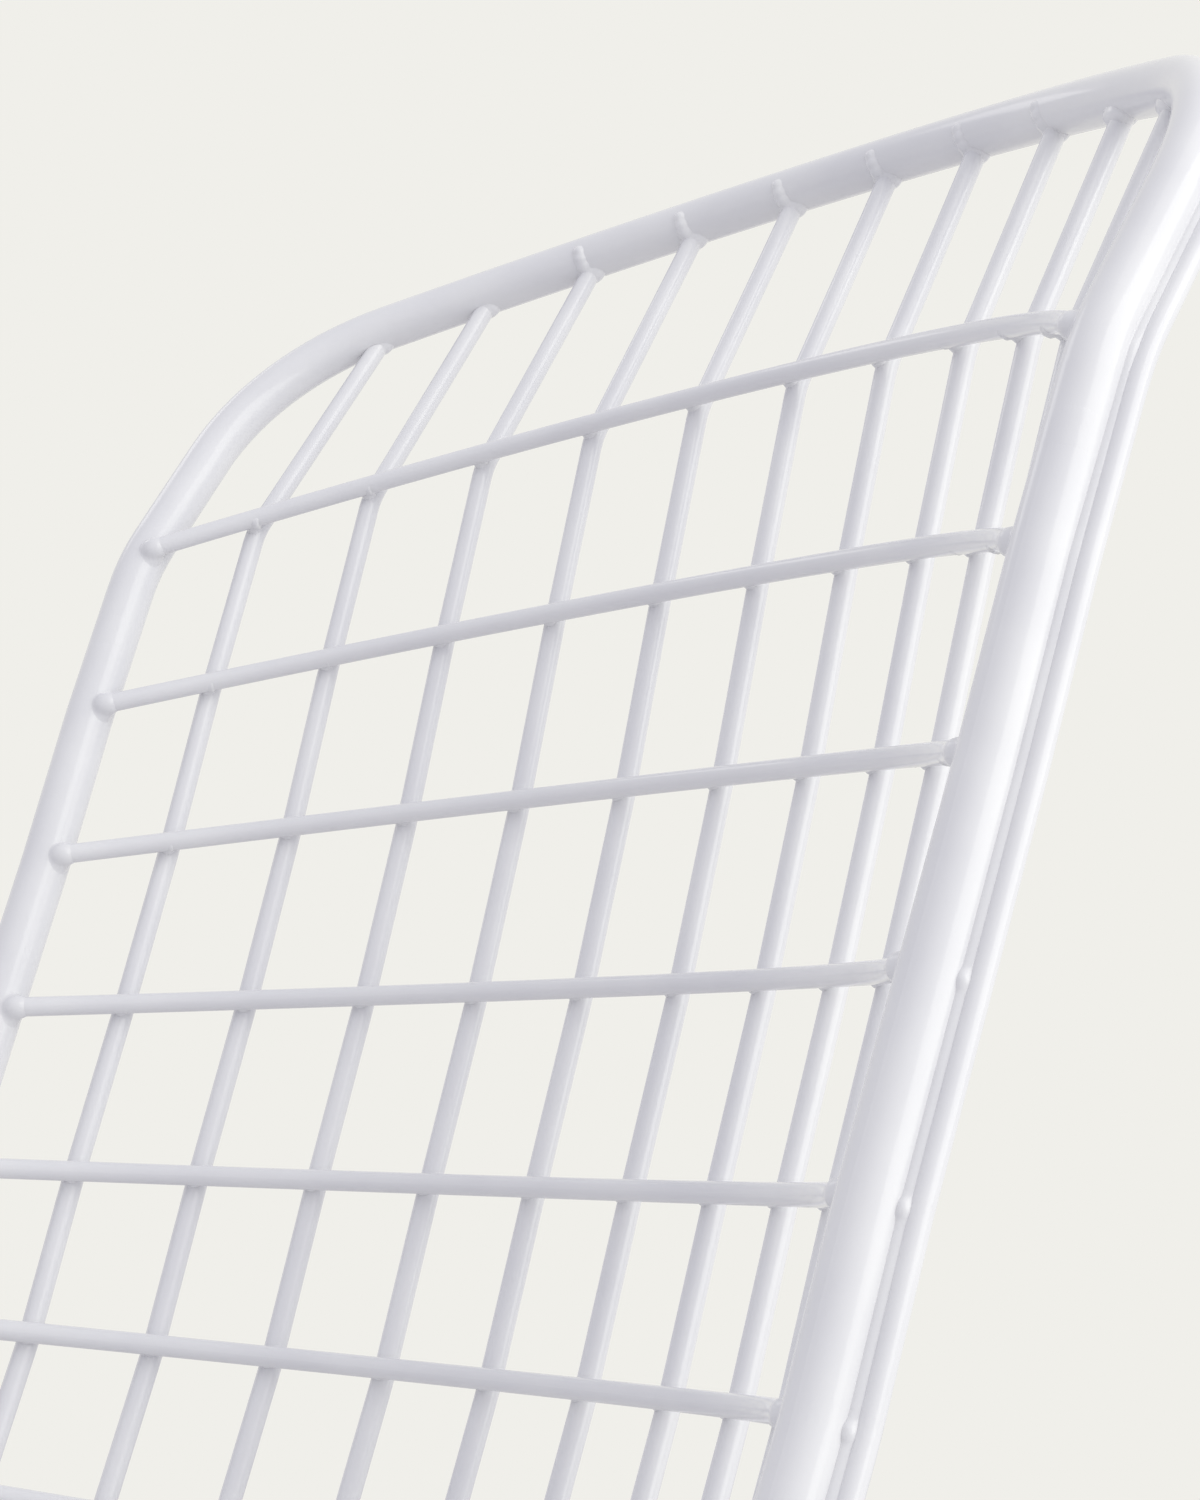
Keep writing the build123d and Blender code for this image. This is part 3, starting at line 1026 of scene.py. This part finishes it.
@dataclass
class SledBase:
    """Side frames, rails and glides under the seat, with the welds between them."""

    shell: WireShell
    torch: Torch = Torch(0.6 * MM, 22, 0.2)
    rod_radius: float = 6.0 * MM
    skin: float = 0.1 * MM
    stub_length: float = 15.0 * MM
    rim_reach: float = 7.5 * MM
    floor_half_width: float = 240.0 * MM
    runner_front: float = 403.0 * MM
    runner_back: float = 42.0 * MM
    runner_height: float = 10.0 * MM
    front_leg_row: int = 4
    rear_leg_row: int = 0

    def metal_names(self) -> list[str]:
        """Names of the painted nodes."""
        return [*(f"side_frame_{side.word}" for side in Side), *(f"rail_{end.value}" for end in End)]

    def glide_names(self) -> list[str]:
        """Names of the glides' nodes."""
        return [f"glide_{end.value}_{side.word}" for end in End for side in Side]

    def leg(self, end: End) -> tuple[Vector, Vector, int]:
        """Find a right leg.

        Args:
            end: The leg's end of the side frame.

        Returns:
            Its top, its foot and the level of the shell at its top.
        """
        shift, row = self.runner_back, self.rear_leg_row
        if end is End.FRONT:
            shift, row = -self.runner_front, self.front_leg_row
        foot = Vector((self.floor_half_width, self.shell.fourth_wire[0] + shift, self.runner_height))
        index = self.shell.seat_indexes[row]
        return self.shell.rim(index, Side.RIGHT), foot, index

    def leg_weld(self, end: End, side: Side) -> bpy.types.Object:
        """Weld a leg to the seat's rim.

        Args:
            end: The leg's end of the side frame.
            side: Side of the chair.

        Returns:
            The weld.
        """
        top, foot, index = self.leg(end)
        down = (foot - top).normalized()
        reach = self.shell.rim_bend(index, Side.RIGHT)[1] * self.rim_reach
        leg = Stub(side.mirror(top), side.mirror(top + down * self.stub_length), self.rod_radius - self.skin)
        rim = Stub(side.mirror(top - reach), side.mirror(top + reach), self.shell.rim_radius - self.skin)
        return self.torch.melt(f"leg_weld_{end.value}_{side.word}", [leg, rim], [])

    def rail_weld(self, end: End, side: Side) -> bpy.types.Object:
        """Weld a rail to a leg.

        Args:
            end: The rail's end of the side frame.
            side: Side of the chair.

        Returns:
            The weld.
        """
        top, foot, _ = self.leg(end)
        leg = top - foot
        drop = self.shell.long_radius + self.rod_radius + self.shell.weld_gap
        share = ((self.shell.bend_end - foot).dot(self.shell.seat_up) - drop) / leg.dot(self.shell.seat_up)
        meet = foot + leg * share
        reach = leg.normalized() * self.stub_length
        radius = self.rod_radius - self.skin
        rods = [(meet, meet - X_AXIS * self.stub_length), (meet - reach, meet + reach)]
        stubs = [Stub(side.mirror(start), side.mirror(stop), radius) for start, stop in rods]
        return self.torch.melt(f"rail_weld_{end.value}_{side.word}", stubs, [])

    def build(self) -> list[bpy.types.Object]:
        """Model the welds of the base.

        Returns:
            The pieces: the legs' welds and the rails' welds.
        """
        places = [(end, side) for end in End for side in Side]
        return [
            join("welds_legs", [self.leg_weld(end, side) for end, side in places]),
            join("welds_rails", [self.rail_weld(end, side) for end, side in places]),
        ]


@dataclass(frozen=True)
class Softbox:
    """Square area lamp aimed at the chair."""

    name: str
    place: Triple
    size: float
    power: float
    colour: Triple

    def add(self, target: Vector) -> None:
        """Hang the lamp.

        Args:
            target: Point that it is aimed at.
        """
        lamp = bpy.data.lights.new(self.name, "AREA")
        lamp.size = self.size
        lamp.energy = self.power
        lamp.color = self.colour
        holder = bpy.data.objects.new(self.name, lamp)
        holder.location = self.place
        holder.rotation_euler = (target - Vector(self.place)).to_track_quat("-Z", "Y").to_euler()
        bpy.context.scene.collection.objects.link(holder)


@dataclass
class Studio:
    """Pale floor, soft light and the camera."""

    backdrop: Triple = (0.8714, 0.8632, 0.8228)
    floor_colour: Triple = (0.70, 0.69, 0.68)
    floor_shade: float = 0.985
    floor_roughness: float = 0.7
    floor_cloud_scale: float = 3.0
    floor_cloud_detail: float = 3.0
    floor_radius: float = 2.6
    floor_sides: int = 96
    sky_colour: Triple = (0.927, 0.926, 1.0)
    sky_strength: float = 0.77
    target: Triple = (0.0, 0.1, 0.65)
    boxes: tuple[Softbox, ...] = (
        Softbox("side_light", (2.2, 0.6, 1.6), 2.4, 33.0, (0.99, 1.0, 0.92)),
        Softbox("high_light", (1.0, 0.3, 2.4), 1.2, 2.0, (1.0, 0.97, 0.88)),
        Softbox("left_light", (-2.0, 0.1, 2.5), 0.8, 2.0, (1.0, 0.99, 0.95)),
    )
    camera_place: Triple = (0.4729, -0.3176, 0.5905)
    camera_pitch: float = 7.71
    camera_yaw: float = 43.985
    sensor: float = 36.0
    lens: float = 62.51
    nearest: float = 0.01

    def floor(self) -> None:
        """Lay a round pale floor under the chair."""
        bpy.ops.object.select_all(action="DESELECT")
        bpy.ops.mesh.primitive_circle_add(
            vertices=self.floor_sides,
            radius=self.floor_radius,
            fill_type="NGON",
        )
        ground = bpy.context.active_object
        ground.name = "floor"
        finish = Surface("pale_floor", Roughness=self.floor_roughness)
        shade = tuple(channel * self.floor_shade for channel in self.floor_colour)
        clouds = finish.noise(self.floor_cloud_scale, self.floor_cloud_detail)
        finish.feed(finish.tint(clouds, shade, self.floor_colour), "Base Color")
        ground.data.materials.append(finish.material)

    def sky(self) -> None:
        """Show the pale backdrop to camera, gloss and glass, and light the chair from all round."""
        world = bpy.data.worlds.new("studio")
        bpy.context.scene.world = world
        world.use_nodes = True
        nodes = Nodes(world.node_tree)
        path = nodes.add("ShaderNodeLightPath")
        shown = path.outputs["Is Camera Ray"]
        for ray in ("Is Glossy Ray", "Is Transmission Ray"):
            either = nodes.add("ShaderNodeMath")
            either.operation = "MAXIMUM"
            nodes.link(shown, either.inputs[0])
            nodes.link(path.outputs[ray], either.inputs[1])
            shown = either.outputs["Value"]
        light = nodes.add("ShaderNodeBackground", Color=(*self.sky_colour, 1.0), Strength=self.sky_strength)
        picture = nodes.add("ShaderNodeBackground", Color=(*self.backdrop, 1.0), Strength=1.0)
        mix = nodes.add("ShaderNodeMixShader")
        nodes.link(shown, mix.inputs["Fac"])
        nodes.link(light.outputs["Background"], mix.inputs[1])
        nodes.link(picture.outputs["Background"], mix.inputs[2])
        output = nodes.add("ShaderNodeOutputWorld")
        nodes.link(mix.outputs["Shader"], output.inputs["Surface"])

    def camera(self) -> None:
        """Set up the camera in front of the right side rim, looking up across the back."""
        camera = bpy.data.cameras.new("camera")
        camera.sensor_width = self.sensor
        camera.lens = self.lens
        camera.clip_start = self.nearest
        holder = bpy.data.objects.new("camera", camera)
        holder.location = self.camera_place
        holder.rotation_euler = (math.radians(90.0 + self.camera_pitch), 0.0, math.radians(self.camera_yaw))
        bpy.context.scene.collection.objects.link(holder)
        bpy.context.scene.camera = holder

    def build(self) -> None:
        """Set up floor, backdrop, lamps and camera."""
        bpy.context.scene.view_settings.view_transform = "Standard"
        self.floor()
        self.sky()
        for box in self.boxes:
            box.add(Vector(self.target))
        self.camera()


def main() -> None:
    """Build the chair's looks piece by piece."""
    logging.basicConfig(level=logging.INFO)
    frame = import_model()
    paint_finish = GlossPaint()
    paint = paint_finish.material()
    plastic = GlidePlastic().material()
    shell = WireShell()
    grid = WireGrid(shell)
    back_rim = BackRim(shell)
    seat_rim = SeatRim(shell)
    base = SledBase(shell)
    dress([*grid.names(), *back_rim.names(), *seat_rim.names(), *base.metal_names()], paint, frame)
    dress(base.glide_names(), plastic, frame)
    for assembly in (grid, back_rim, seat_rim, base):
        for piece in assembly.build():
            piece.data.materials.append(paint)
            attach(piece, "root")
            LOG.info("modelled %s with %d faces", piece.name, len(piece.data.polygons))
    Studio().build()


if __name__ == "__main__":
    main()
